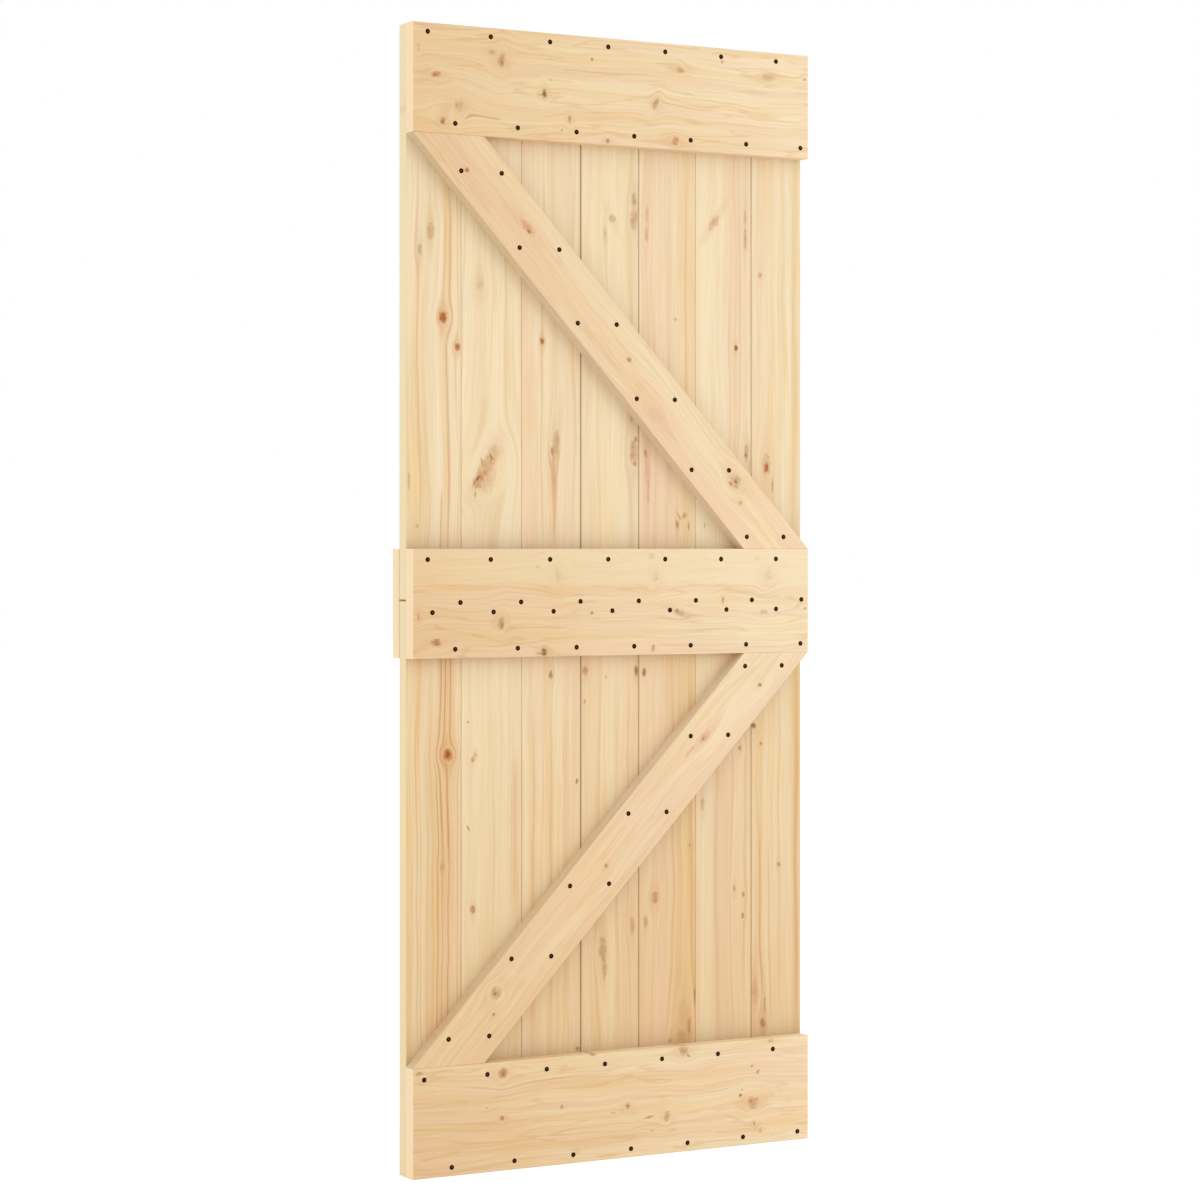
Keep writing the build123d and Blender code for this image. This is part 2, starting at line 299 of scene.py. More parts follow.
        Knot(499, 910, 9, 15, 0.6, "brown", 0.3), Knot(523, 482, 17, 22, 0.5, "pink", 0.5),
        Knot(503, 436, 11, 24, 0.3, "pink", 0.3), Knot(600, 578, 6, 9, 0.3, "brown", 0.2),
        Knot(611, 289, 5, 40, 0.45, "brown", 0.2), Knot(586, 262, 22, 60, 0.06, "brown", 0.3),
        Knot(598, 232, 9, 34, 0.3, "orange", 0.5), Knot(556, 207, 10, 10, 0.3, "brown", 0.2),
        Knot(582, 214, 26, 24, 0.12, "brown", 0.4),
    ),
    "lower_board_6": (
        Knot(628, 656, 9, 24, 0.3, "pink", 0.4), Knot(700, 490, 7, 14, 0.3, "brown", 0.3),
        Knot(712, 760, 9, 10, 0.4, "brown", 0.3), Knot(720, 477, 7, 14, 0.5, "brown", 0.2),
        Knot(718, 436, 7, 12, 0.4, "brown", 0.2),
    ),
    "lower_board_7": (
        Knot(743, 802, 10, 13, 0.75, "brown", 0.3, -25), Knot(759, 767, 6, 8, 0.6, "brown", 0.1),
        Knot(800, 531, 7, 9, 0.5, "brown", 0.2), Knot(764, 225, 12, 20, 0.5, "orange", 0.5),
        Knot(768, 262, 6, 44, 0.3, "pink", 0.4), Knot(746, 290, 16, 50, 0.18, "pink", 0.5),
    ),
}

# Dark resin lines along the grain: the middle's spot like a knot's, half width and half length
# in millimetres, and how dark and how red they are

Streak = namedtuple("Streak", "right up half_width half_length dark red")

STREAKS = {
    "upper_board_1": (Streak(26, 1500, 2.5, 420, 0.35, 0.2), Streak(70, 1190, 2.0, 70, 0.5, 0.9), Streak(85, 1480, 2.5, 420, 0.5, 0.5),
                      Streak(101, 1600, 1.5, 300, 0.3, 0.4), Streak(74, 1640, 2.0, 150, 0.3, 0.7)),
    "upper_board_2": (Streak(205, 1500, 3.5, 400, 0.22, 0.0), Streak(168, 1180, 8.0, 90, 0.25, 0.0), Streak(172, 1370, 9.0, 70, 0.15, 0.0),
                      Streak(122, 1500, 2.0, 360, 0.15, 0.2)),
    "upper_board_3": (Streak(282, 1500, 2.5, 420, 0.3, 0.2), Streak(305, 1250, 2.5, 110, 0.45, 0.8),
                      Streak(345, 1500, 4.0, 420, 0.2, 0.1)),
    "upper_board_4": (Streak(470, 1500, 3.0, 420, 0.22, 0.2), Streak(404, 1400, 2.0, 320, 0.12, 0.0)),
    "upper_board_5": (Streak(520, 1300, 2.5, 320, 0.2, 0.5), Streak(589, 1600, 3.0, 320, 0.25, 0.5),
                      Streak(551, 1500, 5.0, 420, 0.12, 0.9)),
    "upper_board_6": (Streak(690, 1480, 2.0, 420, 0.25, 0.4), Streak(712, 1500, 3.0, 420, 0.25, 0.1)),
    "upper_board_7": (Streak(800, 1500, 3.0, 420, 0.12, 0.1), Streak(833, 1500, 4.0, 420, 0.18, 0.1)),
    "lower_board_1": (Streak(84, 690, 2.0, 130, 0.6, 0.9), Streak(71, 790, 1.4, 240, 0.7, 0.8),
                      Streak(80, 860, 1.3, 150, 0.65, 1.0), Streak(90, 860, 1.3, 150, 0.6, 1.0), Streak(24, 560, 1.6, 380, 0.3, 0.4),
                      Streak(31, 560, 1.3, 380, 0.25, 0.3), Streak(44, 500, 1.6, 380, 0.25, 0.3),
                      Streak(55, 560, 1.3, 380, 0.3, 0.3), Streak(64, 450, 1.3, 400, 0.6, 0.6),
                      Streak(73, 480, 1.3, 300, 0.45, 0.7), Streak(85, 430, 1.4, 260, 0.5, 0.7),
                      Streak(103, 500, 1.6, 380, 0.3, 0.4)),
    "lower_board_2": (Streak(222, 620, 7.0, 170, 0.3, 0.3), Streak(180, 500, 2.0, 400, 0.15, 0.1)),
    "lower_board_3": (Streak(262, 560, 2.5, 360, 0.25, 0.2), Streak(300, 560, 2.5, 380, 0.25, 0.3),
                      Streak(330, 600, 5.0, 380, 0.15, 0.6), Streak(281, 560, 1.6, 300, 0.25, 0.2)),
    "lower_board_4": (Streak(402, 560, 2.5, 420, 0.2, 0.1), Streak(440, 560, 5.0, 420, 0.2, 0.2),
                      Streak(465, 560, 2.0, 420, 0.2, 0.2)),
    "lower_board_5": (Streak(562, 560, 2.2, 420, 0.3, 0.1), Streak(577, 560, 5.0, 420, 0.2, 0.1),
                      Streak(600, 560, 4.0, 420, 0.3, 0.6)),
    "lower_board_6": (Streak(694, 500, 2.0, 420, 0.25, 0.3), Streak(722, 600, 3.0, 420, 0.3, 0.0),
                      Streak(660, 500, 6.0, 420, 0.2, 0.9)),
    "lower_board_7": (Streak(757, 430, 2.0, 220, 0.55, 0.2), Streak(798, 600, 2.2, 420, 0.25, 0.1),
                      Streak(838, 560, 4.0, 420, 0.35, 0.7), Streak(776, 400, 2.0, 200, 0.3, 0.1)),
    "top_rail": (Streak(140, 1944, 1.4, 46, 0.5, 1.0), Streak(575, 1979, 1.6, 80, 0.4, 0.2),
                 Streak(535, 2052, 1.6, 30, 0.4, 0.2), Streak(420, 2030, 1.5, 110, 0.22, 0.2),
                 Streak(480, 2018, 1.5, 60, 0.2, 0.1), Streak(700, 1958, 1.5, 90, 0.25, 0.2)),
    "middle_rail": (Streak(560, 1016, 1.5, 60, 0.3, 0.3), Streak(300, 1060, 1.5, 150, 0.15, 0.3),
                    Streak(640, 992, 1.5, 90, 0.25, 0.3)),
    "bottom_rail": (Streak(250, 160, 1.6, 100, 0.3, 0.3), Streak(600, 60, 1.6, 130, 0.2, 0.2)),
}

# Broad bands of lighter or warmer wood over a board's full length: the middle's place right of
# the leaf's left edge and the half width in millimetres, how strong, and of which wood

Band = namedtuple("Band", "right half_width strong wood")

BANDS = {
    "upper_board_1": (Band(44, 16, 0.1, "late"), Band(65, 3, 0.8, "pale"), Band(77, 4, 0.4, "honey"),
                      Band(99, 9, 0.3, "pale")),
    "upper_board_2": (Band(118, 3, 0.9, "pale"), Band(130, 10, 0.5, "pale"), Band(203, 11, 0.6, "pale")),
    "upper_board_3": (Band(260, 20, 0.3, "peach"), Band(303, 5, 0.12, "late"), Band(335, 20, 0.3, "peach")),
    "upper_board_4": (Band(392, 9, 0.4, "pale"), Band(407, 4, 0.3, "honey"), Band(436, 28, 0.5, "pale"),
                      Band(475, 8, 0.18, "late")),
    "upper_board_5": (Band(503, 6, 0.4, "peach"), Band(535, 18, 0.3, "peach"), Band(587, 22, 0.5, "honey")),
    "upper_board_6": (Band(640, 28, 0.7, "pale"), Band(692, 14, 0.4, "peach"), Band(702, 4, 0.12, "late")),
    "upper_board_7": (Band(765, 14, 0.3, "peach"), Band(794, 8, 0.5, "pale"), Band(836, 8, 0.4, "honey")),
    "lower_board_1": (Band(42, 20, 0.12, "late"), Band(78, 16, 0.4, "peach"), Band(84, 8, 0.1, "late")),
    "lower_board_2": (Band(119, 3, 0.9, "pale"), Band(150, 30, 0.6, "pale"), Band(204, 5, 0.9, "pale")),
    "lower_board_3": (Band(262, 18, 0.3, "peach"), Band(320, 3, 0.4, "pale"), Band(345, 16, 0.3, "peach")),
    "lower_board_4": (Band(400, 5, 0.3, "honey"), Band(425, 14, 0.5, "pale"), Band(465, 20, 0.3, "peach")),
    "lower_board_5": (Band(530, 22, 0.4, "peach"), Band(592, 20, 0.7, "honey")),
    "lower_board_6": (Band(636, 24, 0.9, "pale"), Band(680, 16, 0.5, "peach"), Band(724, 8, 0.3, "pale")),
    "lower_board_7": (Band(760, 6, 0.12, "late"), Band(806, 24, 0.4, "pale"), Band(838, 8, 0.5, "honey")),
}

# How each timber was sawn: where its pith lies across the face and behind it, in millimetres,
# the seed of its pattern, and how much peach, honey and late wood it shows

Sawn = namedtuple("Sawn", "across behind seed peach honey late")

SAWN = {
    "top_rail": Sawn(-40, 70, 1.3, 0.55, 0.5, 0.75),
    "middle_rail": Sawn(-34, 80, 5.1, 0.6, 0.45, 0.75),
    "bottom_rail": Sawn(-46, 64, 9.7, 0.6, 0.5, 0.75),
    "back_rail": Sawn(30, 75, 14.9, 0.5, 0.4, 0.7),
    "upper_brace": Sawn(-70, 60, 21.7, 0.7, 0.2, 0.6),
    "lower_brace": Sawn(60, 70, 26.3, 0.7, 0.3, 0.6),
    "upper_board_1": Sawn(-110, 45, 31.1, 0.55, 0.7, 0.8),
    "upper_board_2": Sawn(150, 50, 37.9, 0.2, 0.45, 0.35),
    "upper_board_3": Sawn(-170, 60, 41.3, 0.5, 0.5, 0.5),
    "upper_board_4": Sawn(-150, 40, 47.7, 0.4, 0.45, 0.4),
    "upper_board_5": Sawn(160, 60, 53.3, 0.7, 0.3, 0.5),
    "upper_board_6": Sawn(-130, 55, 59.9, 0.6, 0.4, 0.5),
    "upper_board_7": Sawn(140, 40, 63.1, 0.25, 0.6, 0.5),
    "lower_board_1": Sawn(-120, 45, 67.7, 0.5, 0.9, 0.9),
    "lower_board_2": Sawn(-140, 40, 71.3, 0.25, 0.5, 0.5),
    "lower_board_3": Sawn(150, 55, 77.9, 0.5, 0.6, 0.7),
    "lower_board_4": Sawn(-160, 45, 83.1, 0.45, 0.5, 0.6),
    "lower_board_5": Sawn(130, 60, 87.7, 0.6, 0.6, 0.8),
    "lower_board_6": Sawn(-120, 50, 91.3, 0.75, 0.3, 0.5),
    "lower_board_7": Sawn(120, 45, 97.9, 0.4, 0.6, 0.7),
}

# The seams that get painted shade beside them, darker than an open gap: how far right of the leaf's left edge, and how
# dark the painted shade is
SEAMS = ((362.5, 0.85), (487.5, 0.5), (737.5, 0.4))


# Node recipes

class Recipe:
    """Adds nodes to one tree and links each value as it is given."""

    def __init__(self, tree):
        self.tree = tree

    def node(self, kind, values=None, **settings):
        made = self.tree.nodes.new("ShaderNode" + kind)
        for name, setting in settings.items():
            setattr(made, name, setting)
        for name, value in (values or {}).items():
            self.give(made.inputs[name], value)
        return made

    def give(self, socket, value):
        if isinstance(value, bpy.types.NodeSocket):
            self.tree.links.new(value, socket)
        elif socket.type == "RGBA":
            socket.default_value = (*value[:3], 1)
        else:
            socket.default_value = value

    def maths(self, operation, *values):
        made = self.node("Math", operation=operation)
        for socket, value in zip(made.inputs, values):
            self.give(socket, value)
        return made.outputs[0]

    def vector(self, x=0.0, y=0.0, z=0.0):
        return self.node("CombineXYZ", {"X": x, "Y": y, "Z": z}).outputs[0]

    def parts(self, vector):
        return self.node("SeparateXYZ", {"Vector": vector}).outputs

    def plus(self, first, second):
        made = self.node("VectorMath", operation="ADD")
        self.give(made.inputs[0], first)
        self.give(made.inputs[1], second)
        return made.outputs[0]

    def times(self, first, second):
        made = self.node("VectorMath", operation="MULTIPLY")
        self.give(made.inputs[0], first)
        self.give(made.inputs[1], second)
        return made.outputs[0]

    def step(self, value, low, high, start=0.0, end=1.0):
        """A smooth rise from start, where the value is low, to end, where it is high."""
        return self.node("MapRange", {"Value": value, "From Min": low, "From Max": high,
                                      "To Min": start, "To Max": end},
                         interpolation_type="SMOOTHSTEP").outputs["Result"]

    def step_line(self, value, low, high):
        """A straight rise from 0 to 1, held level outside its ends."""
        return self.node("MapRange", {"Value": value, "From Min": low, "From Max": high}).outputs["Result"]

    def noise(self, place, stretch, seed, detail=2.0, roughness=0.5):
        """Soft noise from 0 to 1; stretch gives its cycles to the metre along x, y and z."""
        made = self.node("TexNoise", {"Vector": self.times(place, stretch), "W": seed, "Scale": 1.0,
                                      "Detail": detail, "Roughness": roughness}, noise_dimensions="4D")
        return made.outputs[0]

    def mix(self, amount, first, second, blend="MIX"):
        made = self.node("Mix", data_type="RGBA", blend_type=blend)
        for socket, value in zip((made.inputs[0], made.inputs[6], made.inputs[7]), (amount, first, second)):
            self.give(socket, value)
        return made.outputs[2]


def new_group(name, takes, gives):
    """An empty node group with its sockets, its recipe, its inputs and the node that ends it."""
    tree = bpy.data.node_groups.new(name, "ShaderNodeTree")
    for socket, kind in takes.items():
        tree.interface.new_socket(socket, in_out="INPUT", socket_type=kind)
    for socket, kind in gives.items():
        tree.interface.new_socket(socket, in_out="OUTPUT", socket_type=kind)
    start = tree.nodes.new("NodeGroupInput")
    end = tree.nodes.new("NodeGroupOutput")
    return Recipe(tree), start.outputs, end.inputs


VECTOR, FLOAT, COLOR = "NodeSocketVector", "NodeSocketFloat", "NodeSocketColor"


def knot_group():
    """One knot: how it pushes the grain aside, and where its body, rim and halo lie."""
    r, taken, given = new_group(
        "Knot", {"Place": VECTOR, "Centre": VECTOR, "Radius": FLOAT, "Squeeze": FLOAT, "Lean": FLOAT, "Ragged": FLOAT},
        {"Shift": FLOAT, "Body": FLOAT, "Core": FLOAT, "Rim": FLOAT, "Halo": FLOAT})
    off = r.node("VectorMath", operation="SUBTRACT")
    r.give(off.inputs[0], taken["Place"])
    r.give(off.inputs[1], taken["Centre"])
    turned = r.node("VectorRotate", {"Vector": off.outputs[0], "Angle": taken["Lean"]}, rotation_type="Z_AXIS")
    x, y, _ = r.parts(turned.outputs[0])
    x = r.maths("DIVIDE", r.maths("MULTIPLY", x, taken["Squeeze"]), taken["Radius"])
    y = r.maths("DIVIDE", y, taken["Radius"])
    y_squared = r.maths("MULTIPLY", y, y)
    away = r.maths("SQRT", r.maths("MULTIPLY_ADD", x, x, y_squared))
    rough = r.maths("MULTIPLY_ADD", taken["Ragged"], 1.0, away)
    clear = r.maths("MAXIMUM", r.maths("DIVIDE", away, 1.5), 1.0)
    shift = r.maths("DIVIDE", r.maths("MULTIPLY", y, -0.85), r.maths("MULTIPLY", clear, clear))
    r.give(given["Shift"], r.maths("MULTIPLY", shift, taken["Radius"]))
    r.give(given["Body"], r.step(rough, 0.55, 1.15, 1.0, 0.0))
    clump = r.step(taken["Ragged"], 0.04, -0.12, 0.3, 1.0)
    r.give(given["Core"], r.maths("MULTIPLY", r.step(rough, 0.25, 0.85, 1.0, 0.0), clump))
    ring = r.step(r.maths("ABSOLUTE", r.maths("SUBTRACT", away, 0.95)), 0.03, 0.3, 1.0, 0.0)
    r.give(given["Rim"], r.maths("MULTIPLY", ring, r.step(taken["Ragged"], 0.08, -0.08, 0.2, 1.0)))
    along = r.maths("MULTIPLY", x, 0.42)
    spread = r.maths("SQRT", r.maths("MULTIPLY_ADD", along, along, y_squared))
    r.give(given["Halo"], r.step(r.maths("ADD", spread, taken["Ragged"]), 0.5, 2.1, 1.0, 0.0))
    return r.tree


def streak_group():
    """One resin line that fades out sideways and at both ends."""
    r, taken, given = new_group(
        "Streak", {"Place": VECTOR, "Centre": VECTOR, "Half Width": FLOAT, "Half Length": FLOAT}, {"Mask": FLOAT})
    off = r.node("VectorMath", operation="SUBTRACT")
    r.give(off.inputs[0], taken["Place"])
    r.give(off.inputs[1], taken["Centre"])
    x, y, _ = r.parts(off.outputs[0])
    y = r.maths("DIVIDE", y, taken["Half Width"])
    across = r.maths("EXPONENT", r.maths("MULTIPLY", r.maths("MULTIPLY", y, y), -1.0))
    along = r.step(r.maths("DIVIDE", r.maths("ABSOLUTE", x), taken["Half Length"]), 0.55, 1.0, 1.0, 0.0)
    r.give(given["Mask"], r.maths("MULTIPLY", across, along))
    return r.tree


def pine_group():
    """Growth rings around a wandering pith, with bands of tone and fine fibres along the grain."""
    r, taken, given = new_group(
        "Pine", {"Place": VECTOR, "Shift": FLOAT, "Pith Across": FLOAT, "Pith Behind": FLOAT,
                 "Ring Width": FLOAT, "Wander": FLOAT, "Seed": FLOAT},
        {"Flow": VECTOR, "Late": FLOAT, "Line": FLOAT, "Peach": FLOAT, "Honey": FLOAT, "Fibre": FLOAT,
         "Cloud": FLOAT})
    place, seed = taken["Place"], taken["Seed"]
    x, y, z = r.parts(place)
    wander = r.maths("SUBTRACT", r.noise(place, (5.0, 8, 8), seed, 1.0), 0.5)
    ripple = r.maths("SUBTRACT", r.noise(place, (22, 40, 40), seed, 1.0), 0.5)
    bend = r.maths("MULTIPLY", r.maths("MULTIPLY_ADD", ripple, 0.2, wander), taken["Wander"])
    across = r.maths("ADD", r.maths("ADD", y, taken["Shift"]), bend)
    flow = r.vector(x, across, z)
    r.give(given["Flow"], flow)
    off = r.maths("SUBTRACT", across, taken["Pith Across"])
    behind = r.maths("MULTIPLY_ADD", x, 0.02, r.maths("ADD", z, taken["Pith Behind"]))
    reach = r.maths("SQRT", r.maths("MULTIPLY_ADD", off, off, r.maths("MULTIPLY", behind, behind)))
    uneven = r.noise(r.vector(reach), (45, 1, 1), seed, 1.0)
    years = r.maths("MULTIPLY_ADD", uneven, 4.0, r.maths("DIVIDE", reach, taken["Ring Width"]))
    season = r.maths("FRACT", years)
    late = r.maths("MULTIPLY", r.step(season, 0.35, 0.88), r.step(season, 0.88, 1.0, 1.0, 0.0))
    strength = r.step(r.noise(flow, (3.5, 30, 30), r.maths("ADD", seed, 5.0), 2.0), 0.45, 0.72, 0.06, 1.0)
    r.give(given["Late"], r.maths("MULTIPLY", late, strength))
    level = r.maths("FRACT", r.maths("MULTIPLY", r.noise(flow, (3.6, 40, 40), r.maths("ADD", seed, 31.0), 2.0), 5.0))
    line = r.step(r.maths("ABSOLUTE", r.maths("SUBTRACT", level, 0.5)), 0.02, 0.13, 1.0, 0.0)
    r.give(given["Line"], r.maths("MULTIPLY", line, r.maths("SUBTRACT", 1.0, strength)))
    r.give(given["Peach"], r.step(r.noise(flow, (1.0, 26, 26), r.maths("ADD", seed, 11.0), 4.0, 0.6), 0.38, 0.62))
    r.give(given["Honey"], r.step(r.noise(flow, (1.3, 58, 58), r.maths("ADD", seed, 17.0), 4.0, 0.65), 0.42, 0.64))
    r.give(given["Fibre"], r.noise(flow, (5, 300, 300), seed, 3.0, 0.65))
    r.give(given["Cloud"], r.noise(flow, (4, 14, 14), r.maths("ADD", seed, 23.0), 2.0))
    return r.tree


def grain_frame(node, angle):
    """How a timber's own axes lie: x along the grain, y across the face and z towards the back."""
    low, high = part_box(node)
    turn = Euler((radians(-90), 0, radians(-angle))).to_matrix()
    return turn, turn @ ((low + high) / 2)


def spot_in_grain(node, angle, right, up):
    """A spot on the leaf's front, in the timber's own axes."""
    turn, middle = grain_frame(node, angle)
    spot = turn @ Vector((LEFT_END + right * MM, 0, up * MM)) - middle
    spot.z = 0
    return spot


def timber_material(node, settings):
    """Planed pine for one timber, with its own knots and resin lines in their places."""
    material = bpy.data.materials.new("pine_" + node)
    material.use_nodes = True
    tree = material.node_tree
    tree.nodes.clear()
    r = Recipe(tree)
    sawn, angle = SAWN[node], grain_angle(node)
    _, middle = grain_frame(node, angle)
    world = r.node("TexCoord").outputs["Object"]
    place = r.node("Mapping", {"Vector": world, "Location": -middle,
                               "Rotation": (radians(-90), 0, radians(-angle))}).outputs[0]
    ragged = r.maths("SUBTRACT", r.noise(place, (90, 140, 140), sawn.seed, 2.0, 0.55), 0.5)

    knots = []
    shift = 0.0
    for knot in KNOTS.get(node, ()):
        group = r.node("Group", node_tree=bpy.data.node_groups["Knot"])
        for name, value in {"Place": place, "Centre": spot_in_grain(node, angle, knot.right, knot.up),
                            "Radius": knot.width * MM / 2, "Squeeze": knot.width / knot.length,
                            "Lean": radians(knot.lean), "Ragged": ragged}.items():
            r.give(group.inputs[name], value)
        shift = r.maths("ADD", shift, group.outputs["Shift"])
        knots.append((knot, group.outputs))

    pine = r.node("Group", node_tree=bpy.data.node_groups["Pine"])
    board = node in BOARD_NODES
    for name, value in {"Place": place, "Shift": shift, "Pith Across": sawn.across * MM,
                        "Pith Behind": sawn.behind * MM, "Seed": sawn.seed,
                        "Ring Width": settings.ring_width * (1.0 if board else 1.5),
                        "Wander": 0.012 if board else 0.024}.items():
        r.give(pine.inputs[name], value)
    rings = pine.outputs
    colour = r.mix(r.maths("MULTIPLY", rings["Peach"], sawn.peach), settings.pale, settings.peach)
    colour = r.mix(r.maths("MULTIPLY", rings["Honey"], sawn.honey), colour, settings.honey)
    colour = r.mix(r.maths("MULTIPLY", rings["Late"], (0.36 if board else 0.26) * sawn.late), colour, settings.late)
    lined = 0.06 if board else 0.24 if node in RAIL_NODES else 0.12
    colour = r.mix(r.maths("MULTIPLY", rings["Line"], lined), colour, settings.late)
    for band in BANDS.get(node, ()):
        group = r.node("Group", node_tree=bpy.data.node_groups["Streak"])
        middle_up = 1000 * (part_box(node)[0].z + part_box(node)[1].z) / 2
        for name, value in {"Place": rings["Flow"], "Centre": spot_in_grain(node, angle, band.right, middle_up),
                            "Half Width": band.half_width * MM, "Half Length": 2.0}.items():
            r.give(group.inputs[name], value)
        colour = r.mix(r.maths("MULTIPLY", group.outputs["Mask"], band.strong), colour,
                       getattr(settings, band.wood))
    streaked = r.step(rings["Fibre"], 0.3, 0.7, 0.945, 1.035)
    colour = r.mix(1.0, colour, r.vector(streaked, streaked, streaked), "MULTIPLY")
    colour = r.mix(r.step(rings["Cloud"], 0.5, 0.75, 0.0, 0.5), colour,
                   r.mix(1.0, colour, screen(255, 245, 230), "MULTIPLY"))

    for streak in STREAKS.get(node, ()):
        group = r.node("Group", node_tree=bpy.data.node_groups["Streak"])
        for name, value in {"Place": rings["Flow"], "Centre": spot_in_grain(node, angle, streak.right, streak.up),
                            "Half Width": streak.half_width * MM, "Half Length": streak.half_length * MM}.items():
            r.give(group.inputs[name], value)
        tint = blend(settings.late, settings.knot_orange, 0.6 * streak.red)
        colour = r.mix(r.maths("MULTIPLY", group.outputs["Mask"], streak.dark), colour, tint)

    for knot, outputs in knots:
        body = getattr(settings, "knot_" + knot.wood)
        halo = blend(settings.peach if knot.wood == "pink" else settings.honey, body, 0.4)
        if not knot.dark:
            continue
        if knot.halo:
            colour = r.mix(r.maths("MULTIPLY", outputs["Halo"], 0.6 * knot.halo), colour, halo)
        colour = r.mix(r.maths("MULTIPLY", outputs["Body"], 0.85 * knot.dark + 0.06), colour, body)
        colour = r.mix(r.maths("MULTIPLY", outputs["Rim"], 0.5 * knot.dark), colour, [c * 0.65 for c in body])
        colour = r.mix(r.maths("MULTIPLY", outputs["Core"], 0.85 * knot.dark), colour, [c * 0.42 for c in body])

    colour = wood_tone_and_painted_light(r, node, world, r.parts(place)["Y"], colour, settings)
    bump = r.node("Bump", {"Strength": 0.25, "Distance": 0.0004,
                           "Height": r.maths("MULTIPLY_ADD", rings["Late"], 0.5, rings["Fibre"])})
    shader = r.node("BsdfPrincipled", {"Base Color": colour, "Normal": bump.outputs[0],
                                       "Roughness": r.step(rings["Late"], 0.0, 1.0, 0.62, 0.5)})
    shader.inputs["Specular IOR Level"].default_value = 0.25
    r.node("OutputMaterial", {"Surface": shader.outputs[0]})
    return material


def blend(first, second, amount):
    """A colour that lies between two others."""
    return [a + (b - a) * amount for a, b in zip(first, second)]


def wood_tone_and_painted_light(r, node, world, across, colour, settings):
    """Paints shade that darkens and warms the boards towards their foot and the rails and braces towards their left
    end, and painted shade along seams, the joint, the corners by the timbers, the braces' long sides and the back
    rail's seat; paints light on the boards' outer edges and the bottom rail's lower arris; gives the rails' cut ends
    an end grain tone made paler with painted light, and the middle rail its own cream band.
    """
    x, y, z = r.parts(world)
    low, high = cad_box
    if node in BOARD_NODES:
        # Painted shade: the boards darker and warmer towards their foot
        unshaded = r.step_line(z, low.z + 200 * MM, low.z + 1300 * MM)
        colour = r.mix(1.0, colour, r.mix(unshaded, settings.painted_foot_shade, (0.97, 0.97, 0.97)), "MULTIPLY")
        front = r.step(y, BOARD_FRONT + 1 * MM, BOARD_FRONT + 3 * MM, 1.0, 0.0)
        # Painted shade on the boards' front along the rails and braces, stronger above the ledge below
        for painted_shade in painted_corner_shade(r, node, x, z):
            colour = r.mix(r.maths("MULTIPLY", painted_shade, front), colour,
                           r.mix(1.0, colour, settings.corner, "MULTIPLY"))
        # Painted shade beside the darker seams
        for right, dark in SEAMS:
            if abs(LEFT_END + right * MM - sum(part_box(node), Vector()).x / 2) > 80 * MM:
                continue
            away = r.maths("ABSOLUTE", r.maths("SUBTRACT", x, LEFT_END + right * MM))
            colour = r.mix(r.step(away, 0.8 * MM, 3.2 * MM, dark, 0.0), colour,
                           r.mix(1.0, colour, settings.seam, "MULTIPLY"))
        if node[-1] in "17":
            # Painted light on the outer edge faces of boards 1 and 7
            edge = r.step(r.maths("ABSOLUTE", x), high.x - 0.9 * MM, high.x - 0.2 * MM, 0.0, 0.8)
            colour = r.mix(edge, colour, settings.edge)
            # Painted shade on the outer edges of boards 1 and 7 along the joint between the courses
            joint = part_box("lower_board_1")[1].z
            away = r.maths("ABSOLUTE", r.maths("SUBTRACT", z, joint))
            colour = r.mix(r.maths("MULTIPLY", edge, r.step(away, 1.0 * MM, 2.4 * MM, 1.0, 0.0)), colour,
                           r.mix(1.0, colour, settings.joint, "MULTIPLY"))
        return colour
    if node == "middle_rail":
        cream = r.step(z, 1070 * MM, 1082 * MM, 0.0, 0.55)
        colour = r.mix(cream, colour, settings.pale)
    if node == "bottom_rail":
        # Painted highlight: the bottom rail paler along its lower arris, as if lit from the floor
        colour = r.mix(r.step(z, 3 * MM, 6 * MM, 0.7, 0.0), colour, settings.pale)
    # Painted shade: the rails and braces darker and warmer towards their left end
    unshaded = r.step_line(x, low.x, high.x)
    colour = r.mix(1.0, colour, r.mix(unshaded, settings.painted_end_shade, (1, 1, 1)), "MULTIPLY")
    if node in BRACE_NODES:
        # Painted shade on the braces' long sides and their arrises
        inner = r.maths("SUBTRACT", brace_cut(node) * sin(radians(brace_angle(node))) / 2, 1.4 * MM)
        side = r.step(r.maths("ABSOLUTE", across), inner, r.maths("ADD", inner, 1.0 * MM))
        return r.mix(side, colour, r.mix(1.0, colour, settings.painted_brace_side_shade, "MULTIPLY"))
    # The rails' ends get the end grain tone, paler with painted light
    end = r.step(r.maths("ABSOLUTE", x), high.x - 1.6 * MM, high.x - 0.8 * MM, 0.0, 0.9)
    colour = r.mix(end, colour, settings.end_grain_and_painted_light)
    if node != "back_rail":
        return colour
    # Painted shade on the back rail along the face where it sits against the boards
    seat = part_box(node)[0].y
    return r.mix(r.step(y, seat + 0.8 * MM, seat + 2.6 * MM, 0.9, 0.0), colour,
                 r.mix(1.0, colour, settings.seam, "MULTIPLY"))


